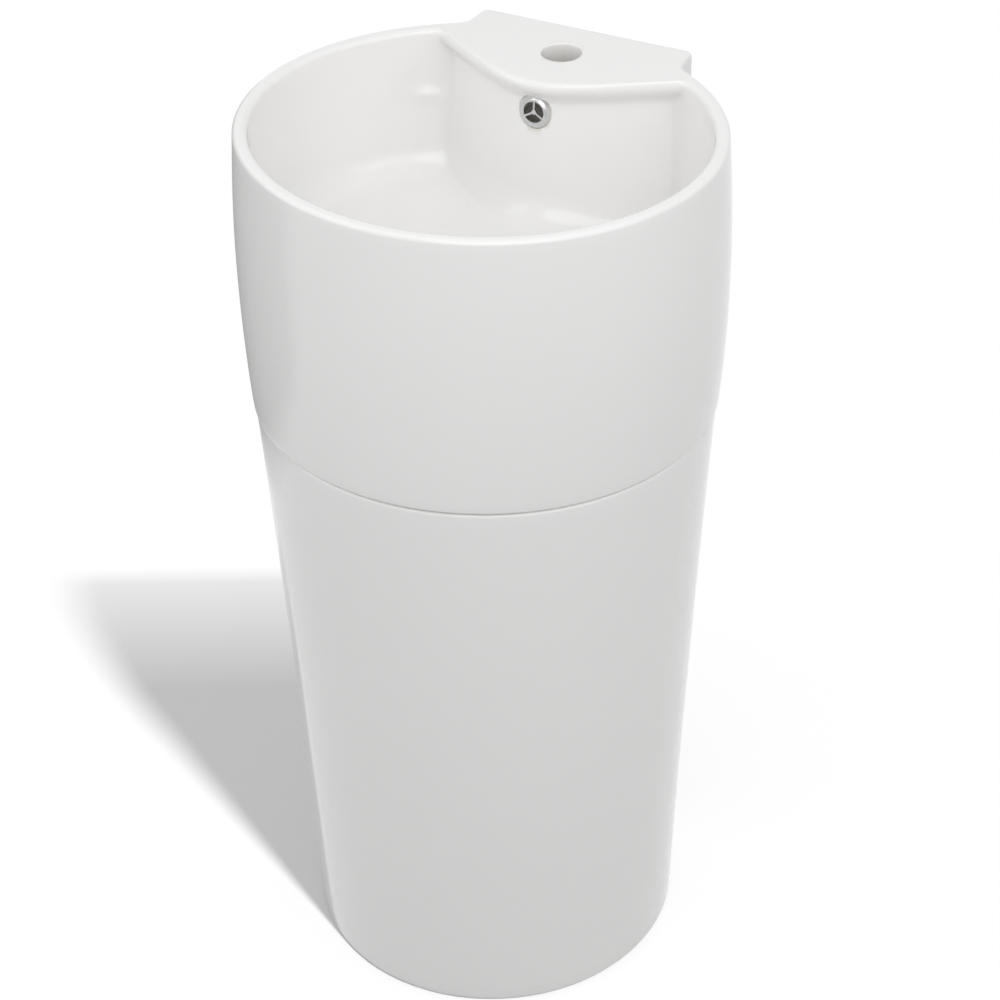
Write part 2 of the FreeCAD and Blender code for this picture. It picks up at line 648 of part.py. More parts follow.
def plug_stem():
    """Stem with a broad head that carries the cap and the seal."""
    head = disc(STEM_HEAD_RADIUS, PLUG_Z - PLUG_SEAL_HEIGHT, PLUG_Z)
    foot = GUIDE_END - CLIP_GAP - CLIP_HEIGHT - STEM_END
    return head.fuse(disc(STEM_RADIUS, foot, PLUG_Z))


def plug_stop_clip():
    """Clip on the stem below the guide, which stops the plug at the top of its travel."""
    top = GUIDE_END - CLIP_GAP
    return ring(CLIP_RADIUS, STEM_RADIUS, top - CLIP_HEIGHT, top)


def plug_spring():
    """Coil spring round the stem, between the guide and the stem's head."""
    low = GUIDE_TOP + SPRING_WIRE + SPRING_END_GAP
    height = PLUG_Z - PLUG_SEAL_HEIGHT - SPRING_WIRE - SPRING_END_GAP - low
    path = Part.makeLongHelix(SPRING_PITCH, height, SPRING_RADIUS)
    wire = Part.Wire(Part.makeCircle(SPRING_WIRE, Vector(SPRING_RADIUS, 0, 0), Vector(0, 1, 0)))
    spring = Part.Wire(path.Edges).makePipeShell([wire], True, True)
    spring.translate(Vector(0, 0, low))
    return spring


# Trap

def trap_inlet_nut():
    """Union nut that holds the inlet tube up against the waste."""
    bore = WASTE_TUBE_RADIUS + THREAD_CLEARANCE
    nut = ring(UNION_RADIUS, PIPE_RADIUS + PIPE_CLEARANCE, UNION_END, UNION_TOP)
    return nut.cut([disc(bore, UNION_END + UNION_LIP, UNION_TOP)] + grips(UNION_RADIUS, UNION_END, UNION_TOP))


def trap_inlet_washer():
    """Flat washer between the waste and the inlet tube."""
    return ring(TUBE_FLANGE_RADIUS, WASTE_TAIL_RADIUS, TUBE_TOP, WASTE_END)


def trap_inlet_tube():
    """Flanged tube that dips into the water of the trap."""
    flange = disc(TUBE_FLANGE_RADIUS, TUBE_TOP - TUBE_FLANGE, TUBE_TOP)
    tube = disc(PIPE_RADIUS, TUBE_END, TUBE_TOP).fuse(flange)
    return tube.cut(disc(PIPE_RADIUS - PIPE_WALL, TUBE_END, TUBE_TOP))


def coupling_nut():
    """Compression nut for a plain pipe, its lip starting at z 0, the end of the neck."""
    nut = ring(COUPLING_RADIUS, PIPE_RADIUS + PIPE_CLEARANCE, -COUPLING_SKIRT, COUPLING_LIP)
    bore = disc(NECK_RADIUS + THREAD_CLEARANCE, -COUPLING_SKIRT, 0)
    return nut.cut([bore] + grips(COUPLING_RADIUS, -COUPLING_SKIRT, COUPLING_LIP))


def coupling_seal():
    """Sealing ring that lies in the end of the neck below a compression nut."""
    return ring(COUPLING_SEAL_RADIUS, PIPE_RADIUS + COUPLING_SEAL_FIT, -COUPLING_SEAL, 0)


def coupling_recess():
    """Room for the sealing ring and the pipe in the end of a neck."""
    return disc(COUPLING_SEAL_RADIUS + COUPLING_SEAL_FIT, -COUPLING_SEAL, 0)


def on_neck(shape):
    """Place a coupling piece on the trap's upright neck."""
    return aimed(shape, Vector(0, 0, NECK_TOP), UP)


def on_spigot(shape):
    """Place a coupling piece on the trap's outlet."""
    return aimed(shape, Vector(0, SPIGOT_END, OUTLET_Z), BACKWARD)


def trap_body():
    """Head of the bottle trap, with a neck for the inlet tube and a spigot for the outlet."""
    spigot = Part.makeCylinder(NECK_RADIUS, SPIGOT_END, Vector(0, 0, OUTLET_Z), BACKWARD)
    body = disc(HEAD_RADIUS, HEAD_END, HEAD_TOP).fuse([disc(NECK_RADIUS, HEAD_TOP, NECK_TOP), spigot])
    bore = PIPE_RADIUS + PIPE_CLEARANCE
    way_out = Part.makeCylinder(bore, SPIGOT_END, Vector(0, 0, OUTLET_Z), BACKWARD)
    inside = disc(HEAD_RADIUS - TRAP_WALL, HEAD_END, HEAD_TOP - TRAP_WALL)
    recess = coupling_recess()
    return body.cut([inside, disc(bore, HEAD_END, NECK_TOP), way_out, on_neck(recess), on_spigot(recess)])


def trap_cup():
    """Screw-on cup that holds the water, taken off to clean the trap."""
    inner = HEAD_RADIUS + THREAD_CLEARANCE
    outer = inner + TRAP_WALL
    cup = disc(outer, CUP_END, CUP_TOP)
    cup = cup.makeFillet(CUP_CORNER, level_edges(cup, CUP_END))
    well = disc(HEAD_RADIUS - TRAP_WALL, CUP_END + TRAP_WALL, HEAD_END)
    well = well.makeFillet(CUP_CORNER - TRAP_WALL, level_edges(well, CUP_END + TRAP_WALL))
    return cup.cut([well, disc(inner, HEAD_END - CUP_SEAL, CUP_TOP)] + grips(outer, HEAD_END, CUP_TOP))


def trap_cup_seal():
    """Flat ring between the cup's shoulder and the head."""
    return ring(HEAD_RADIUS, HEAD_RADIUS - TRAP_WALL, HEAD_END - CUP_SEAL, HEAD_END)


def outlet_pipe():
    """Plain pipe from the trap to the wall, with a shallow groove that marks its way into the nut."""
    def rod(radius, y_low, y_high):
        return Part.makeCylinder(radius, y_high - y_low, Vector(0, y_low, OUTLET_Z), BACKWARD)
    start = SPIGOT_END - PIPE_ENGAGEMENT
    mark = SPIGOT_END + COUPLING_LIP + PIPE_MARK_GAP
    groove = rod(PIPE_RADIUS, mark, mark + PIPE_MARK_WIDTH)
    groove = groove.cut(rod(PIPE_RADIUS - PIPE_MARK_DEPTH, mark, mark + PIPE_MARK_WIDTH))
    return rod(PIPE_RADIUS, start, WALL_PLANE).cut([rod(PIPE_RADIUS - PIPE_WALL, start, WALL_PLANE), groove])


def sub_parts():
    """Every piece of the sink by name."""
    return {
        "basin": basin(),
        "overflow_ring": overflow_ring(),
        "pedestal": pedestal(),
        "basin_gasket": basin_gasket(),
        "waste_body": waste_body(),
        "waste_top_seal": waste_top_seal(),
        "waste_bottom_seal": waste_bottom_seal(),
        "waste_nut_washer": waste_nut_washer(),
        "waste_backnut": waste_backnut(),
        "waste_guide": waste_guide(),
        "plug_cap": plug_cap(),
        "plug_seal": plug_seal(),
        "plug_stem": plug_stem(),
        "plug_stop_clip": plug_stop_clip(),
        "plug_spring": plug_spring(),
        "trap_inlet_nut": trap_inlet_nut(),
        "trap_inlet_washer": trap_inlet_washer(),
        "trap_inlet_tube": trap_inlet_tube(),
        "trap_tube_nut": on_neck(coupling_nut()),
        "trap_tube_seal": on_neck(coupling_seal()),
        "trap_body": trap_body(),
        "trap_cup": trap_cup(),
        "trap_cup_seal": trap_cup_seal(),
        "trap_outlet_nut": on_spigot(coupling_nut()),
        "trap_outlet_seal": on_spigot(coupling_seal()),
        "outlet_pipe": outlet_pipe(),
    }


os.makedirs("parts", exist_ok=True)
for name, shape in sub_parts().items():
    shape.exportStep("parts/" + name + ".step")
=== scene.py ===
"""Looks of a pedestal sink: an oval basin with a tap ledge on its own pedestal.

The basin and the pedestal are surfaces worked out on grids of two parameters. Their outlines
repeat the sizes of the construction model, in millimetres, and become metres when a mesh is made.
"""
import json
import math

import bpy
import numpy as np
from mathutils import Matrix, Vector


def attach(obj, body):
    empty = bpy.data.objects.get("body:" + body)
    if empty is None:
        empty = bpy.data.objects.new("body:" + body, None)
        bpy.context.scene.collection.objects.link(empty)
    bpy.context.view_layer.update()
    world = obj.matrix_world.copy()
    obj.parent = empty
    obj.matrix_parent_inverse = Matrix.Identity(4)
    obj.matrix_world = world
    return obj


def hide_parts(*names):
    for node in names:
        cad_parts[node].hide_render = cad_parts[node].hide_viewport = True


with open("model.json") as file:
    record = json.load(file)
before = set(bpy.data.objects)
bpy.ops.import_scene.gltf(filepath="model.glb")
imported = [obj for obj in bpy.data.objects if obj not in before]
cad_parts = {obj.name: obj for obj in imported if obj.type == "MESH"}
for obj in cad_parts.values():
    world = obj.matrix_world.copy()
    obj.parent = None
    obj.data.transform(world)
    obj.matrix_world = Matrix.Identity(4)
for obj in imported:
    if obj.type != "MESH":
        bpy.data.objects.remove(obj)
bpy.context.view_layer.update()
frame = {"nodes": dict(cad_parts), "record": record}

MM = 0.001


# Sizes of the basin, in millimetres

HEIGHT = 830.0
SKIRT_Z = 580.0
BELLY_Z = 730.0
WALL_Y = 200.0
RIM = (206.2, 191.9)
BELLY = (210.6, 198.3)
SKIRT = (203.4, 199.1)
BACK_HALF = 100.9
BACK_CORNER = 8.0
NECK_BLEND = 9.0
NECK_FROM = 0.5
NECK_OVER = 0.2
NECK_ANGLE = math.radians(61)
RIM_ROUNDING = 4.0
SKIRT_ROUNDING = 2.5
WAVE_HEIGHT = 0.07
WAVE_ROOM = 0.2
EDGE_BREAK = 1.5

LIP = 12.0
DRAFT = 3.0
BOWL_DEPTH = 133.0
FLOOR_FALL = 7.0
BOWL_CORNER = 28.0
BOWL_EDGE = 5.0
VALLEY_BLEND = 9.0
NOSE_Y = 86.0
NOSE_WIDTH = 48.0
FLANK_SLOPE = 0.75
COVE_DEPTH = 12.0
COVE_DROP = 20.0
FACE_LEAN = 0.09
SHELL = 11.0
BOWL_SHELL = 10.0
LEDGE_UNDERSIDE = 808.0

FLOOR_Z = HEIGHT - BOWL_DEPTH
DRAIN_RADIUS = 23.0
SEAT_RADIUS = 33.5
SEAT_DEPTH = 3.0
BOSS_RADIUS = 37.0
BOSS_HEIGHT = 36.0
SEAT_Z = FLOOR_Z - FLOOR_FALL - SEAT_DEPTH
BOSS_Z = SEAT_Z - BOSS_HEIGHT

TAP_HOLE = 17.5
TAP_ROUNDING = 1.2
TAP_HOLE_Y = 148.0
TAP_CUT_Z = 790.0
WALL_HOLE = 7.0
WALL_HOLE_X = 60.0
WALL_HOLE_Z = 740.0
OVERFLOW_Z = 797.0
OVERFLOW_HOLE = 12.0
OVERFLOW_SEAT = 15.5
OVERFLOW_SEAT_DEPTH = 1.5
OVERFLOW_REACH = 38.0
DUCT_HALF = 13.0
DUCT_DEPTH = 13.0
DUCT_WALL = 8.0
DUCT_LAP = 3.0
DUCT_START = 30.0
DUCT_LIFT = 0.3
DUCT_Y = NOSE_Y + COVE_DEPTH + BOWL_SHELL
DUCT_BACK = DUCT_Y + DUCT_DEPTH
DUCT_LOW = BOSS_Z + DUCT_WALL

# Sizes of the pedestal, in millimetres

PEDESTAL_TOP = 578.4
WAIST_Z = 290.0
FOOT = (170.5, 173.0)
WAIST = (183.8, 185.5)
HEAD = (201.6, 197.3)
PEDESTAL_SHELL = 11.0
OPENING_HALF = 100.0
FOOT_ROUNDING = 5.0
HEAD_ROUNDING = 3.0
LUG_OUTLINE = [(92.0, 68.0), (150.0, 68.0), (126.0, 108.0), (92.0, 108.0)]
LUG_BASE = 0.4
LUG_HEIGHT = 14.0
LUG_X = 112.0
LUG_Y = 88.0
FLOOR_HOLE = 4.5

SHARP_ANGLE = math.radians(38)
FAR = 1000.0
QUARTER = math.pi / 2


# Finish and light

GLAZE_COLOR = (0.895, 0.89, 0.885)
GLAZE_CLOUD = (0.91, 0.905, 0.90)
CLAY_DARK = (0.70, 0.675, 0.63)
CLAY_LIGHT = (0.78, 0.755, 0.71)
FLOOR_SEEN = 0.42
FLOOR_BOUNCE = 0.18
FLOOR_GLOW = 0.262
# Painted light on the floor: white glow is laid over the cast shadow from the fade start to the fade end,
# away from the camera, fading the shadow out; past the edge the floor is plain white
FADE_AWAY = (-0.470, 0.883, 0)
PAINTED_FADE_START = 0.30
PAINTED_FADE_END = 0.62
WHITE_EDGE = (0.492, 0.522)
WORLD_LIGHT = 0.65
LAMPS_AIM = (0, 0, 0.54)
LAMP_SIZE = 2.2
SOFT_LAMPS = [("front_lamp", (0.9, -1.7, 2.6), 19.0),
              ("left_lamp", (-1.9, -1.2, 1.9), 9.8),
              ("right_lamp", (2.1, -0.7, 1.9), 9.7)]
SUN_PLACE = (0.482, -0.310, 1.359)
SUN_POWER = 4.4
SUN_SPREAD = math.radians(3.5)
CARD_X = (-1.08, -0.62)
CARD_Y = (-0.66, 0.45)
CARD_FADE = -0.40
CARD_HEIGHT = 1.0
CARD_FOOT = 0.12
CARD_TONE = 0.36


# Grids

def steps(count, start=0.0, end=1.0):
    """Even steps from start to end, both included, as a column that broadcasts over angles."""
    return np.linspace(start, end, count)[:, None]


def mesh_object(name, points, faces, glaze=0.0):
    """A smooth-shaded object from points in millimetres and its faces, glazed (1) or bare (0)."""
    mesh = bpy.data.meshes.new(name)
    mesh.from_pydata((np.asarray(points) * MM).tolist(), [], faces)
    mesh.shade_smooth()
    layer = mesh.attributes.new("glaze", "FLOAT", "POINT")
    layer.data.foreach_set("value", np.broadcast_to(glaze, len(points)).astype(np.float32))
    thing = bpy.data.objects.new(name, mesh)
    bpy.context.collection.objects.link(thing)
    return thing


def ring_faces(rows, columns):
    """Faces of a grid that closes on itself both ways, so that it bounds a ring-like solid."""
    row, column = np.meshgrid(np.arange(rows), np.arange(columns), indexing="ij")
    next_row, next_column = (row + 1) % rows, (column + 1) % columns
    corners = [row * columns + column, next_row * columns + column,
               next_row * columns + next_column, row * columns + next_column]
    return np.stack(corners, axis=-1).reshape(-1, 4).tolist()


def turned_points(outline, sides):
    """A (radius, z) outline carried round the axis: x = r cos a, y = r sin a."""
    outline = np.array(outline, float)
    angle = np.linspace(0, 2 * math.pi, sides, endpoint=False)
    x = outline[:, :1] * np.cos(angle)
    y = outline[:, :1] * np.sin(angle)
    z = np.repeat(outline[:, 1:], sides, axis=1)
    return np.stack([x, y, z], axis=-1).reshape(-1, 3)


def aimed(points, origin, direction=(0, 0, 1)):
    """Points drawn about +Z, turned to look along a direction and carried to an origin."""
    turn = Vector((0, 0, 1)).rotation_difference(Vector(direction)).to_matrix()
    return points @ np.array(turn).T + np.array(origin)


def plug_object(name, outline, origin, direction=(0, 0, 1), sides=96, glaze=0.0):
    """Solid turned from an outline whose first and last points are closed by flat discs."""
    rows = len(outline)
    row, column = np.meshgrid(np.arange(rows - 1), np.arange(sides), indexing="ij")
    after = (column + 1) % sides
    corners = [row * sides + column, row * sides + after,
               (row + 1) * sides + after, (row + 1) * sides + column]
    faces = np.stack(corners, axis=-1).reshape(-1, 4).tolist()
    faces.append(list(range(sides))[::-1])
    faces.append(list(range((rows - 1) * sides, rows * sides)))
    return mesh_object(name, aimed(turned_points(outline, sides), origin, direction), faces, glaze)


def prism_object(name, outline, low, high):
    """Upright solid on a plane outline of (x, y) corners, taken anticlockwise."""
    count = len(outline)
    points = np.array([(x, y, z) for z in (low, high) for x, y in outline])
    faces = [(i, (i + 1) % count, count + (i + 1) % count, count + i) for i in range(count)]
    faces += [tuple(range(count))[::-1], tuple(range(count, 2 * count))]
    return mesh_object(name, points, faces)


def box_object(name, low, high):
    """Plain box between two corners."""
    outline = [(low[0], low[1]), (high[0], low[1]), (high[0], high[1]), (low[0], high[1])]
    return prism_object(name, outline, low[2], high[2])


def combine(body, operation, tools):
    """Apply boolean tools to a body and remove the tools."""
    for tool in tools:
        change = body.modifiers.new(operation.lower(), "BOOLEAN")
        change.operation = operation
        change.solver = "MANIFOLD"
        change.object = tool
        with bpy.context.temp_override(object=body, active_object=body, selected_objects=[body]):
            bpy.ops.object.modifier_apply(modifier=change.name)
        bpy.data.objects.remove(tool, do_unlink=True)


# Shape of the basin

def oval_radius(half_width, half_depth, angle):
    """Distance from the axis to an oval: 1 / hypot(cos a / width, sin a / depth)."""
    return 1 / np.hypot(np.cos(angle) / half_width, np.sin(angle) / half_depth)


def barrel_halves(z):
    """Half width and half depth of the barrel: the parabola in z through skirt, belly and rim."""
    heights = (SKIRT_Z, BELLY_Z, HEIGHT)
    width = np.polyfit(heights, (SKIRT[0], BELLY[0], RIM[0]), 2)
    depth = np.polyfit(heights, (SKIRT[1], BELLY[1], RIM[1]), 2)
    return np.polyval(width, z), np.polyval(depth, z)


def back_radius(angle, inset):
    """Distance to the rounded outline of the flat back, zero on the front half.

    A ray meets the side at half width / |cos a|, the wall plane at wall / sin a, and between
    them the corner's circle, by the usual ray and circle formula.
    """
    half, wall, corner = BACK_HALF - inset, WALL_Y - inset, max(BACK_CORNER - inset, 0.5)
    sine, cosine = np.maximum(np.sin(angle), 1e-6), np.maximum(np.abs(np.cos(angle)), 1e-6)
    side, rear = half / cosine, wall / sine
    along = cosine * (half - corner) + sine * (wall - corner)
    reach = (half - corner) ** 2 + (wall - corner) ** 2 - corner ** 2
    turn = along + np.sqrt(np.maximum(along ** 2 - reach, 0))
    behind = np.where(rear * cosine <= half - corner, rear, turn)
    flat = np.where(side * sine <= wall - corner, side, behind)
    return np.where(np.sin(angle) > 0.05, flat, 0.0)


def outside_radius(angle, z, inset=0.0):
    """Barrel and flat back joined by a soft maximum, and never past the wall plane."""
    width, depth = barrel_halves(z)
    oval = oval_radius(width - inset, depth - inset, angle)
    back = back_radius(angle, inset)
    joined = (oval + back + np.hypot(oval - back, NECK_BLEND)) / 2
    joined = np.where(back > 0, joined, oval)
    blend = np.clip((np.sin(angle) - NECK_FROM) / NECK_OVER, 0, 1)
    joined = oval + (joined - oval) * blend
    wall = (WALL_Y - inset) / np.maximum(np.sin(angle), 1e-6)
    return np.where(np.sin(angle) > 0, np.minimum(joined, wall), joined)


def back_face_y(z):
    """The face below the ledge on the middle plane: a cove, half a cosine wave deep, then a lean."""
    drop = np.maximum(HEIGHT - BOWL_EDGE - z, 0.0)
    cove = NOSE_Y + COVE_DEPTH * (1 - np.cos(math.pi * np.minimum(drop, COVE_DROP) / COVE_DROP)) / 2
    return cove - FACE_LEAN * np.maximum(drop - COVE_DROP, 0.0)


def ledge_radius(nose_y, angle):
    """Distance to the ledge's front, a hyperbola y = centre + slope hypot(x, nose width)."""
    centre = nose_y - FLANK_SLOPE * NOSE_WIDTH
    sine, cosine = np.sin(angle), np.cos(angle)
    spread = sine ** 2 - (FLANK_SLOPE * cosine) ** 2
    rest = centre ** 2 - (FLANK_SLOPE * NOSE_WIDTH) ** 2
    root = np.sqrt(np.maximum((centre * sine) ** 2 - spread * rest, 0))
    meets = (sine > 0) & (spread > 0.01)
    return np.where(meets, (centre * sine + root) / np.where(meets, spread, 1.0), FAR)


def bowl_radius(angle, z, grow=0.0):
    """The upright bowl wall: the lesser of oval and ledge, as a soft minimum in the valleys."""
    inset = LIP + DRAFT * (HEIGHT - z) / BOWL_DEPTH - grow
    wall = oval_radius(RIM[0] - inset, RIM[1] - inset, angle)
    ledge = ledge_radius(back_face_y(z) + grow, angle)
    return (wall + ledge - np.hypot(wall - ledge, VALLEY_BLEND)) / 2


def basin_angles():
    """Angles round the basin, closer together at the neck where barrel and flat back meet."""
    even = np.linspace(-math.pi, math.pi, 7201)
    off_neck = np.abs(even - QUARTER) - (QUARTER - NECK_ANGLE)
    weight = 1 + 2.2 * np.exp(-(off_neck / math.radians(4)) ** 2)
    total = np.concatenate([[0], np.cumsum((weight[1:] + weight[:-1]) / 2)])
    share = np.linspace(0, total[-1], 481)[:-1]
    return np.interp(share, total, even)[None, :]


def unevenness(angle, z):
    """Slight waves of fired clay: three long sine waves round and up, 0.2 mm at the most."""
    slow = np.sin(3 * angle + z / 47) + np.sin(2 * angle + z / 83 + 4)
    quick = np.sin(5 * angle - z / 31 + 1.3)
    return WAVE_HEIGHT * (slow + quick)


def basin_rows(angle):
    """Radius, height and glaze of every row of the basin's closed profile, inside first.

    Rows run up the drain, out over the floor, up the bowl, over the rim, down the outside, in
    below the skirt, up inside it, over the hollow's roof and back down to the drain's boss.
    """
    rows = []

    def add(radius, z, glaze=1.0):
        radius, z = np.broadcast_arrays(radius, z, angle)[:2]
        rows.append((radius, z, np.full(radius.shape, glaze)))

    round_angle = steps(5, 0, QUARTER)
    add(DRAIN_RADIUS, steps(5, BOSS_Z + 0.5, SEAT_Z - 1))
    add(SEAT_RADIUS - 1 + np.sin(round_angle) * 0.99, SEAT_Z + 1 - np.cos(round_angle) * 0.99)
    add(SEAT_RADIUS, steps(2, SEAT_Z + 1.6, SEAT_Z + SEAT_DEPTH - 0.8))

    corner_start = bowl_radius(angle, FLOOR_Z) - BOWL_CORNER
    share = steps(18) ** 1.15
    share[0] = 0.004
    add(SEAT_RADIUS + (corner_start - SEAT_RADIUS) * share, FLOOR_Z - FLOOR_FALL * (1 - share))

    lean = steps(15, QUARTER, 0)[1:]
    z = FLOOR_Z + BOWL_CORNER * (1 - np.sin(lean))
    add(bowl_radius(angle, np.maximum(z, FLOOR_Z)) - BOWL_CORNER * (1 - np.cos(lean)), z)

    z = np.concatenate([steps(12, FLOOR_Z + BOWL_CORNER, HEIGHT - BOWL_EDGE - COVE_DROP)[1:],
                        steps(14, HEIGHT - BOWL_EDGE - COVE_DROP, HEIGHT - BOWL_EDGE)[1:]])
    add(bowl_radius(angle, z), z)

    lean = steps(9, 0, QUARTER)[1:]
    z = HEIGHT - BOWL_EDGE * (1 - np.sin(lean))
    edge = bowl_radius(angle, z) + BOWL_EDGE * (1 - np.cos(lean))
    add(edge, z)

    rim = outside_radius(angle, HEIGHT) - RIM_ROUNDING
    share = steps(16)[1:]
    add(edge[-1:] + (rim - edge[-1:]) * share, HEIGHT)

    lean = steps(8, 0, QUARTER)[1:]
    z = HEIGHT - RIM_ROUNDING * (1 - np.cos(lean))
    add(outside_radius(angle, z) - RIM_ROUNDING * (1 - np.sin(lean)), z)

    z = steps(34, HEIGHT - RIM_ROUNDING, SKIRT_Z + SKIRT_ROUNDING)[1:]
    fade = np.sin(math.pi * (HEIGHT - z) / (HEIGHT - SKIRT_Z))
    outer = outside_radius(angle, z)
    add(outer - WAVE_ROOM * fade + unevenness(angle, z) * fade, z)

    lean = steps(7, 0, QUARTER)[1:]
    z = SKIRT_Z + SKIRT_ROUNDING * (1 - np.sin(lean))
    add(outside_radius(angle, z) - SKIRT_ROUNDING * (1 - np.cos(lean)), z)

    start = outside_radius(angle, SKIRT_Z) - SKIRT_ROUNDING
    inner = outside_radius(angle, SKIRT_Z, SHELL)
    add(start + (inner + EDGE_BREAK - start) * steps(4)[1:], SKIRT_Z, 0.0)

    middle = (LEDGE_UNDERSIDE + FLOOR_Z) / 2
    room = outside_radius(angle, middle, SHELL) - bowl_radius(angle, middle, BOWL_SHELL)
    low_roof = FLOOR_Z + 8.0
    roof = low_roof + (LEDGE_UNDERSIDE - low_roof) * np.clip((room - 4) / 14, 0, 1)
    share = steps(12)
    z = SKIRT_Z + EDGE_BREAK + (roof - SKIRT_Z - EDGE_BREAK) * share
    add(outside_radius(angle, z, SHELL), z, 0.0)

    floor = FLOOR_Z - BOWL_SHELL
    corner = BOWL_CORNER + BOWL_SHELL
    z = floor + (roof - floor) * (1 - np.sin(steps(18, 0, QUARTER)))
    rise = np.clip(floor + corner - z, 0, corner)
    below = bowl_radius(angle, np.maximum(z, FLOOR_Z), BOWL_SHELL) - corner + np.sqrt(corner ** 2 - rise ** 2)
    add(below, z, 0.0)
    share = steps(8)[1:]
    add(below[-1:] + (BOSS_RADIUS - below[-1:]) * share, floor - FLOOR_FALL * share, 0.0)
    add(BOSS_RADIUS, steps(4, floor - FLOOR_FALL, BOSS_Z + 1)[1:], 0.0)
    add(steps(3, BOSS_RADIUS - 1, DRAIN_RADIUS + 0.5), BOSS_Z, 0.0)
    return [np.concatenate(part) for part in zip(*rows)]


def duct_walls():
    """Solid boxes that the overflow way is cut from: under the bowl, and up behind it."""
    half, base = DUCT_HALF + DUCT_WALL, BOSS_Z + DUCT_LIFT
    back = DUCT_BACK + DUCT_WALL
    run_top = DUCT_LOW + DUCT_DEPTH + DUCT_WALL
    return [box_object("duct_run", (-half, DUCT_START, base), (half, back, run_top)),
            box_object("duct_fall", (-half, DUCT_Y - DUCT_LAP, base),
                       (half, back, LEDGE_UNDERSIDE + DUCT_WALL))]


def duct_ways():
    """The overflow way itself: a run into the drain and a drop behind the bowl."""
    return [box_object("duct_way", (-DUCT_HALF, 0, DUCT_LOW), (DUCT_HALF, DUCT_BACK, DUCT_LOW + DUCT_DEPTH)),
            box_object("duct_drop", (-DUCT_HALF, DUCT_Y, DUCT_LOW),
                       (DUCT_HALF, DUCT_BACK, LEDGE_UNDERSIDE + 1))]


def overflow_cut():
    """Flat seat for the overflow trim, with a hole behind it into the duct."""
    face = np.array((0, back_face_y(OVERFLOW_Z), OVERFLOW_Z))
    lean = back_face_y(OVERFLOW_Z + 1) - back_face_y(OVERFLOW_Z - 1)
    outward = Vector((0, -2, lean)).normalized()
    seat = face - np.array(outward) * OVERFLOW_SEAT_DEPTH
    outline = [(OVERFLOW_HOLE, DUCT_Y - seat[1] - OVERFLOW_REACH), (OVERFLOW_HOLE, 0),
               (OVERFLOW_SEAT, 0.01), (OVERFLOW_SEAT, COVE_DEPTH)]
    return plug_object("overflow_cut", outline, seat, outward, 128)


def tap_cut():
    """Tap hole whose upper edge is a quarter round, glazed down its wall."""
    curl = np.linspace(0, QUARTER, 6)
    mouth = [(TAP_HOLE + TAP_ROUNDING * (1 - math.cos(a)), HEIGHT - TAP_ROUNDING * (1 - math.sin(a)))
             for a in curl]
    outline = [(TAP_HOLE, TAP_CUT_Z), *mouth, (TAP_HOLE + TAP_ROUNDING + 0.01, HEIGHT + 5)]
    return plug_object("tap_cut", outline, (0, TAP_HOLE_Y, 0), sides=144, glaze=1.0)


def wall_cuts():
    """The two fixing holes in the flat back."""
    outline = [(WALL_HOLE, -20), (WALL_HOLE, 5)]
    return [plug_object("wall_cut", outline, (side * WALL_HOLE_X, WALL_Y, WALL_HOLE_Z), (0, 1, 0), 48)
            for side in (-1, 1)]


def make_basin():
    """The basin as one closed surface, with its duct, tap hole, overflow and wall holes cut."""
    angle = basin_angles()
    radius, z, glaze = basin_rows(angle)
    points = np.stack([radius * np.cos(angle), radius * np.sin(angle), z], axis=-1).reshape(-1, 3)
    basin = mesh_object("basin_shell", points, ring_faces(*radius.shape), glaze.ravel())

    combine(basin, "UNION", duct_walls())
    combine(basin, "DIFFERENCE", duct_ways() + [overflow_cut(), tap_cut(), *wall_cuts()])
    basin.data.shade_smooth()
    basin.data.set_sharp_from_angle(angle=SHARP_ANGLE)
    return basin


# Shape of the pedestal

def column_halves(z):
    """Half width and half depth of the pedestal: the parabola in z through foot, waist and head."""
    heights = (0.0, WAIST_Z, PEDESTAL_TOP)
    width = np.polyfit(heights, (FOOT[0], WAIST[0], HEAD[0]), 2)
    depth = np.polyfit(heights, (FOOT[1], WAIST[1], HEAD[1]), 2)
    return np.polyval(width, z), np.polyval(depth, z)


def pedestal_profile():
    """Inset from the outside, height and glaze of the wall's closed section, foot first."""
    lean = np.linspace(0, QUARTER, 8)
    foot = [(FOOT_ROUNDING * (1 - math.sin(t)), FOOT_ROUNDING * (1 - math.cos(t)), 1.0) for t in lean]
    shoulder = PEDESTAL_TOP - HEAD_ROUNDING
    side = [(0.0, z, 1.0) for z in np.linspace(FOOT_ROUNDING, shoulder, 46)[1:-1]]
    head = [(HEAD_ROUNDING * (1 - math.cos(t)), shoulder + HEAD_ROUNDING * math.sin(t), 1.0) for t in lean]
    seat = [(PEDESTAL_SHELL - 1, PEDESTAL_TOP, 0.0), (PEDESTAL_SHELL, PEDESTAL_TOP - 1, 0.0)]
    inside = [(PEDESTAL_SHELL, z, 0.0) for z in np.linspace(PEDESTAL_TOP - 1, 1, 40)[1:-1]]
    base = [(PEDESTAL_SHELL, 1, 0.0), (PEDESTAL_SHELL - 1, 0, 0.0)]
    return np.array(foot + side + head + seat + inside + base)


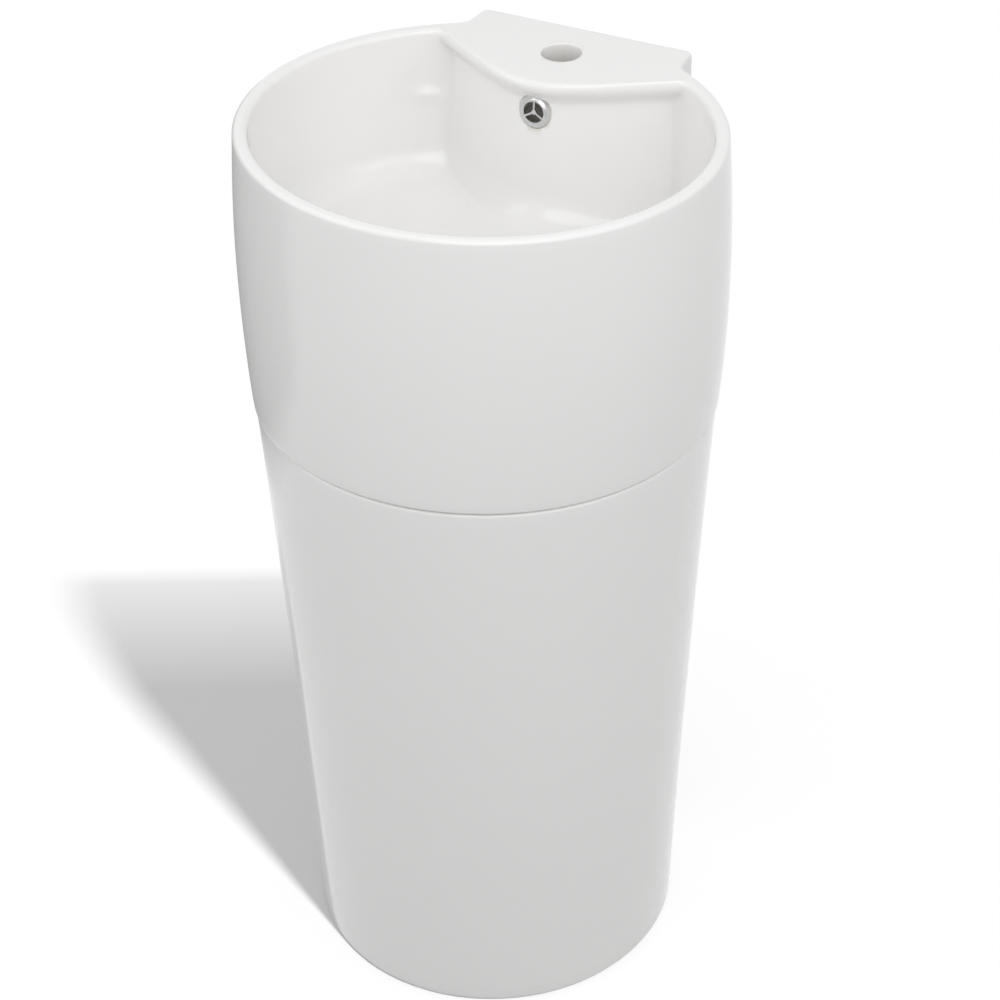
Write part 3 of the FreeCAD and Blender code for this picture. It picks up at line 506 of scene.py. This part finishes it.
def make_pedestal():
    """Wall open at the back: x = a cos t, y = b sin t, with t ending where x meets the opening."""
    profile = pedestal_profile()
    inset, z, glaze = (column[:, None] for column in profile.T)
    width, depth = column_halves(z)
    width, depth = width - inset, depth - inset
    end = np.arccos(OPENING_HALF / width)
    share = np.linspace(0, 1, 321)[None, :]
    angle = end + (-math.pi - 2 * end) * share
    wave = unevenness(angle, z) * np.sin(math.pi * z / PEDESTAL_TOP) * glaze
    x, y = (width + wave) * np.cos(angle), (depth + wave) * np.sin(angle)
    points = np.stack([x, y, np.broadcast_to(z, x.shape)], axis=-1)
    rows, columns = x.shape
    row, column = np.meshgrid(np.arange(rows), np.arange(columns - 1), indexing="ij")
    after = (row + 1) % rows
    corners = [row * columns + column, after * columns + column,
               after * columns + column + 1, row * columns + column + 1]
    faces = np.stack(corners, axis=-1).reshape(-1, 4).tolist()
    ends = np.arange(rows) * columns
    faces += [ends[::-1].tolist(), (ends + columns - 1).tolist()]
    glazed = np.broadcast_to(glaze, x.shape).ravel()
    pedestal = mesh_object("pedestal_wall", points.reshape(-1, 3), faces, glazed)
    for side in (1, -1):
        outline = [(side * corner[0], corner[1]) for corner in LUG_OUTLINE][::side]
        combine(pedestal, "UNION", [prism_object("lug", outline, LUG_BASE, LUG_HEIGHT)])
        outline = [(FLOOR_HOLE, -5), (FLOOR_HOLE, LUG_HEIGHT + 5)]
        hole = plug_object("hole", outline, (side * LUG_X, LUG_Y, 0))
        combine(pedestal, "DIFFERENCE", [hole])
    pedestal.data.shade_smooth()
    pedestal.data.set_sharp_from_angle(angle=SHARP_ANGLE)
    return pedestal


# Camera

def make_camera():
    """Long lens from the front right, looking down on the rim."""
    camera = bpy.data.objects.new("camera", bpy.data.cameras.new("camera"))
    camera.location = (0.94212, -1.71925, 1.83150)
    camera.rotation_euler = [math.radians(a) for a in (54.9132, 0.9309, 27.7681)]
    camera.data.lens = 96.1876
    camera.data.sensor_width = 36.0
    bpy.context.collection.objects.link(camera)
    bpy.context.scene.camera = camera


# Materials

def shader_of(name, color, roughness, metallic=0.0):
    """Material whose Principled shader has its plain values set."""
    material = bpy.data.materials.new(name)
    material.use_nodes = True
    shader = material.node_tree.nodes["Principled BSDF"]
    shader.inputs["Base Color"].default_value = (*color, 1)
    shader.inputs["Roughness"].default_value = roughness
    shader.inputs["Metallic"].default_value = metallic
    return material, material.node_tree, shader


def noise(tree, scale, detail=3.0, stretch=(1, 1, 1)):
    """Noise in object coordinates, stretched by a Mapping node; its output is a grey value."""
    place = tree.nodes.new("ShaderNodeTexCoord")
    mapping = tree.nodes.new("ShaderNodeMapping")
    mapping.inputs["Scale"].default_value = stretch
    texture = tree.nodes.new("ShaderNodeTexNoise")
    texture.inputs["Scale"].default_value = scale
    texture.inputs["Detail"].default_value = detail
    tree.links.new(place.outputs["Object"], mapping.inputs["Vector"])
    tree.links.new(mapping.outputs["Vector"], texture.inputs["Vector"])
    return texture.outputs["Fac"]


def spread(tree, value, low, high, start=0.3, end=0.7):
    """Carry a grey value from one range to another."""
    scale = tree.nodes.new("ShaderNodeMapRange")
    for name, number in (("From Min", start), ("From Max", end), ("To Min", low), ("To Max", high)):
        scale.inputs[name].default_value = number
    tree.links.new(value, scale.inputs["Value"])
    return scale.outputs["Result"]


def blend_color(tree, value, first, second):
    """Mix two colours by a grey value."""
    mix = tree.nodes.new("ShaderNodeMix")
    mix.data_type = "RGBA"
    mix.inputs[6].default_value = (*first, 1)
    mix.inputs[7].default_value = (*second, 1)
    tree.links.new(value, mix.inputs[0])
    return mix.outputs[2]


def add_bump(tree, shader, value, distance, strength=1.0):
    """Raise a shader's surface by a grey value, over a distance in metres."""
    bump = tree.nodes.new("ShaderNodeBump")
    bump.inputs["Distance"].default_value = distance
    bump.inputs["Strength"].default_value = strength
    tree.links.new(value, bump.inputs["Height"])
    tree.links.new(bump.outputs["Normal"], shader.inputs["Normal"])


def china():
    """White glaze, faintly clouded and rippled, and bare fired clay where the glaze attribute is 0."""
    material, tree, shader = shader_of("white_china", GLAZE_COLOR, 0.06)
    shader.inputs["IOR"].default_value = 1.52
    glaze = tree.nodes.new("ShaderNodeAttribute")
    glaze.attribute_name = "glaze"
    clouds = blend_color(tree, noise(tree, 9.0), GLAZE_COLOR, GLAZE_CLOUD)
    clay = blend_color(tree, noise(tree, 160.0), CLAY_DARK, CLAY_LIGHT)
    color = tree.nodes.new("ShaderNodeMix")
    color.data_type = "RGBA"
    tree.links.new(glaze.outputs["Fac"], color.inputs[0])
    tree.links.new(clay, color.inputs[6])
    tree.links.new(clouds, color.inputs[7])
    tree.links.new(color.outputs[2], shader.inputs["Base Color"])
    tree.links.new(spread(tree, glaze.outputs["Fac"], 0.75, 0.06, 0, 1), shader.inputs["Roughness"])
    add_bump(tree, shader, noise(tree, 55.0, 1.0), 0.00008, 0.35)
    return material


def bright_chrome():
    """Polished chrome with a trace of wiping marks."""
    material, tree, shader = shader_of("bright_chrome", (0.90, 0.905, 0.91), 0.08, 1.0)
    tree.links.new(spread(tree, noise(tree, 260.0, 4.0), 0.05, 0.14), shader.inputs["Roughness"])
    return material


def moulded_plastic(name, color, dark, roughness):
    """Moulded plastic with a fine spark-eroded grain."""
    material, tree, shader = shader_of(name, color, roughness)
    tree.links.new(blend_color(tree, noise(tree, 70.0), color, dark), shader.inputs["Base Color"])
    grain = spread(tree, noise(tree, 600.0), roughness - 0.06, roughness + 0.08)
    tree.links.new(grain, shader.inputs["Roughness"])
    add_bump(tree, shader, noise(tree, 2600.0, 2.0), 0.00002, 0.5)
    return material


def rubber(name, color, dust):
    """Matt rubber with a dusting of bloom."""
    material, tree, shader = shader_of(name, color, 0.7)
    tree.links.new(blend_color(tree, noise(tree, 180.0, 5.0), color, dust), shader.inputs["Base Color"])
    tree.links.new(spread(tree, noise(tree, 420.0), 0.6, 0.85), shader.inputs["Roughness"])
    add_bump(tree, shader, noise(tree, 1500.0, 3.0), 0.00003, 0.6)
    return material


def turned_metal(name, color, dull, roughness):
    """Metal turned on a lathe: fine rings, as noise squeezed flat along the axis."""
    material, tree, shader = shader_of(name, color, roughness, 1.0)
    rings = noise(tree, 900.0, 3.0, (0.02, 0.02, 1))
    tree.links.new(blend_color(tree, noise(tree, 60.0, 4.0), color, dull), shader.inputs["Base Color"])
    tree.links.new(spread(tree, rings, roughness - 0.08, roughness + 0.12), shader.inputs["Roughness"])
    add_bump(tree, shader, rings, 0.00003, 0.6)
    return material


def dress_nodes():
    """Give every shown CAD node the material of its slot in the record."""
    materials = {
        "china": china(),
        "bright_chrome": bright_chrome(),
        "white_plastic": moulded_plastic("white_plastic", (0.80, 0.80, 0.79), (0.76, 0.76, 0.75), 0.32),
        "grey_plastic": moulded_plastic("grey_plastic", (0.27, 0.28, 0.29), (0.24, 0.25, 0.26), 0.45),
        "black_rubber": rubber("black_rubber", (0.018, 0.018, 0.018), (0.04, 0.04, 0.04)),
        "white_rubber": rubber("white_rubber", (0.42, 0.42, 0.41), (0.36, 0.36, 0.35)),
        "brass_nut": turned_metal("turned_brass", (0.72, 0.53, 0.24), (0.60, 0.42, 0.18), 0.28),
        "spring_steel": turned_metal("spring_steel", (0.52, 0.52, 0.53), (0.42, 0.42, 0.43), 0.3)}
    for part in frame["record"]["subparts"]:
        node = frame["nodes"][part["node"]]
        node.data.materials.clear()
        node.data.materials.append(materials[part["material_slot"]])
    return materials


def place_piece(piece, node, material):
    """Let a shaped surface stand for its CAD node."""
    piece.data.materials.clear()
    piece.data.materials.append(material)
    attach(piece, "sink")
    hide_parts(node)


# Stage and light

def seen_rays(tree):
    """1 for what the camera sees straight, in a mirror or through glass, and 0 for other rays."""
    path = tree.nodes.new("ShaderNodeLightPath")
    mirror = tree.nodes.new("ShaderNodeMath")
    mirror.operation = "MAXIMUM"
    both = tree.nodes.new("ShaderNodeMath")
    both.operation = "MAXIMUM"
    tree.links.new(path.outputs["Is Camera Ray"], mirror.inputs[0])
    tree.links.new(path.outputs["Is Glossy Ray"], mirror.inputs[1])
    tree.links.new(mirror.outputs[0], both.inputs[0])
    tree.links.new(path.outputs["Is Transmission Ray"], both.inputs[1])
    return both.outputs[0]


def floor_material():
    """Paper that keeps the shadow, with a white glow painted over it more and more away from the sink (a
    painted fading of the shadow), and plain white behind that.
    """
    material, tree, shader = shader_of("pale_floor", (FLOOR_SEEN,) * 3, 1.0)
    shader.inputs["Specular IOR Level"].default_value = 0.0
    seen = seen_rays(tree)
    place = tree.nodes.new("ShaderNodeTexCoord")
    away = tree.nodes.new("ShaderNodeVectorMath")
    away.operation = "DOT_PRODUCT"
    away.inputs[1].default_value = FADE_AWAY
    tree.links.new(place.outputs["Object"], away.inputs[0])
    # painted light: the share of white glow laid over the floor, which fades the cast shadow away from the
    # sink
    level = tree.nodes.new("ShaderNodeMath")
    level.operation = "MULTIPLY"
    tree.links.new(spread(tree, away.outputs["Value"], 1.0, 0.0, PAINTED_FADE_START, PAINTED_FADE_END), level.inputs[0])
    tree.links.new(spread(tree, away.outputs["Value"], 1.0, 0.0, *WHITE_EDGE), level.inputs[1])
    paper = tree.nodes.new("ShaderNodeMixShader")
    white = tree.nodes.new("ShaderNodeEmission")
    glow = tree.nodes.new("ShaderNodeEmission")
    both = tree.nodes.new("ShaderNodeAddShader")
    tree.links.new(spread(tree, seen, FLOOR_BOUNCE, FLOOR_SEEN, 0, 1), shader.inputs["Base Color"])
    tree.links.new(spread(tree, seen, 0.0, FLOOR_GLOW, 0, 1), glow.inputs["Strength"])
    tree.links.new(spread(tree, seen, FLOOR_BOUNCE, 1.0, 0, 1), white.inputs["Strength"])
    tree.links.new(shader.outputs[0], both.inputs[0])
    tree.links.new(glow.outputs[0], both.inputs[1])
    tree.links.new(level.outputs[0], paper.inputs[0])
    tree.links.new(white.outputs[0], paper.inputs[1])
    tree.links.new(both.outputs[0], paper.inputs[2])
    tree.links.new(paper.outputs[0], tree.nodes["Material Output"].inputs["Surface"])
    return material


def make_sheet(name, corners, material):
    """Flat four-cornered stage piece."""
    mesh = bpy.data.meshes.new(name)
    mesh.from_pydata(corners, [], [(0, 1, 2, 3)])
    mesh.materials.append(material)
    sheet = bpy.data.objects.new(name, mesh)
    bpy.context.collection.objects.link(sheet)
    return sheet


def make_floor():
    """Floor that reaches out of sight on all sides."""
    reach = 8.0
    corners = [(-reach, -reach, 0), (reach, -reach, 0), (reach, reach, 0), (-reach, reach, 0)]
    return make_sheet("floor", corners, floor_material())


def make_world():
    """Even studio light, and plain white where it is seen."""
    world = bpy.data.worlds.new("studio")
    world.use_nodes = True
    tree = world.node_tree
    background = tree.nodes["Background"]
    background.inputs["Color"].default_value = (1, 1, 1, 1)
    tree.links.new(spread(tree, seen_rays(tree), WORLD_LIGHT, 1.0, 0, 1), background.inputs["Strength"])
    bpy.context.scene.world = world


def make_lamp(name, kind, location, energy, spread_or_size, lit):
    """A lamp aimed at the sink, for the objects that a collection lists as lit."""
    lamp = bpy.data.objects.new(name, bpy.data.lights.new(name, kind))
    lamp.location = location
    lamp.rotation_euler = (Vector(LAMPS_AIM) - Vector(location)).to_track_quat("-Z", "Y").to_euler()
    lamp.data.energy = energy
    if kind == "AREA":
        lamp.data.shape = "DISK"
        lamp.data.size = spread_or_size
    else:
        lamp.data.angle = spread_or_size
    bpy.context.collection.objects.link(lamp)
    lamp.light_linking.receiver_collection = lit


def make_lights(floor):
    """Three soft lamps for the sink, and a sun from the front right that only the floor receives."""
    floor_only = bpy.data.collections.new("floor_only")
    floor_only.objects.link(floor)
    not_floor = bpy.data.collections.new("not_floor")
    not_floor.objects.link(floor)
    not_floor.collection_objects[0].light_linking.link_state = "EXCLUDE"
    for name, place, watts in SOFT_LAMPS:
        make_lamp(name, "AREA", place, watts, LAMP_SIZE, not_floor)
    make_lamp("shadow_sun", "SUN", SUN_PLACE, SUN_POWER, SUN_SPREAD, floor_only)


def make_card():
    """Grey board standing at the left, fading to white, seen only as a soft band in the glaze."""
    (near_x, far_x), (near_y, far_y) = CARD_X, CARD_Y
    corners = [(near_x, near_y, 0), (far_x, far_y, 0),
               (far_x, far_y, CARD_HEIGHT), (near_x, near_y, CARD_HEIGHT)]
    material, tree, _ = shader_of("card", (0, 0, 0), 1.0)
    place = tree.nodes.new("ShaderNodeTexCoord")
    parts = tree.nodes.new("ShaderNodeSeparateXYZ")
    grey = tree.nodes.new("ShaderNodeMath")
    grey.operation = "MULTIPLY"
    glow = tree.nodes.new("ShaderNodeEmission")
    tree.links.new(place.outputs["Object"], parts.inputs[0])
    tree.links.new(spread(tree, parts.outputs["Y"], 0.0, 1.0, near_y, CARD_FADE), grey.inputs[0])
    tree.links.new(spread(tree, parts.outputs["Z"], 0.0, 1.0, 0.0, CARD_FOOT), grey.inputs[1])
    tree.links.new(spread(tree, grey.outputs[0], 1.0, CARD_TONE, 0, 1), glow.inputs["Strength"])
    tree.links.new(glow.outputs[0], tree.nodes["Material Output"].inputs["Surface"])
    card = make_sheet("card", corners, material)
    card.visible_camera = False
    card.visible_diffuse = False
    card.visible_shadow = False


scene = bpy.context.scene
scene.view_settings.view_transform = "Standard"
make_camera()
floor = make_floor()
make_world()
make_lights(floor)
make_card()
materials = dress_nodes()
place_piece(make_basin(), "basin", materials["china"])
place_piece(make_pedestal(), "pedestal", materials["china"])
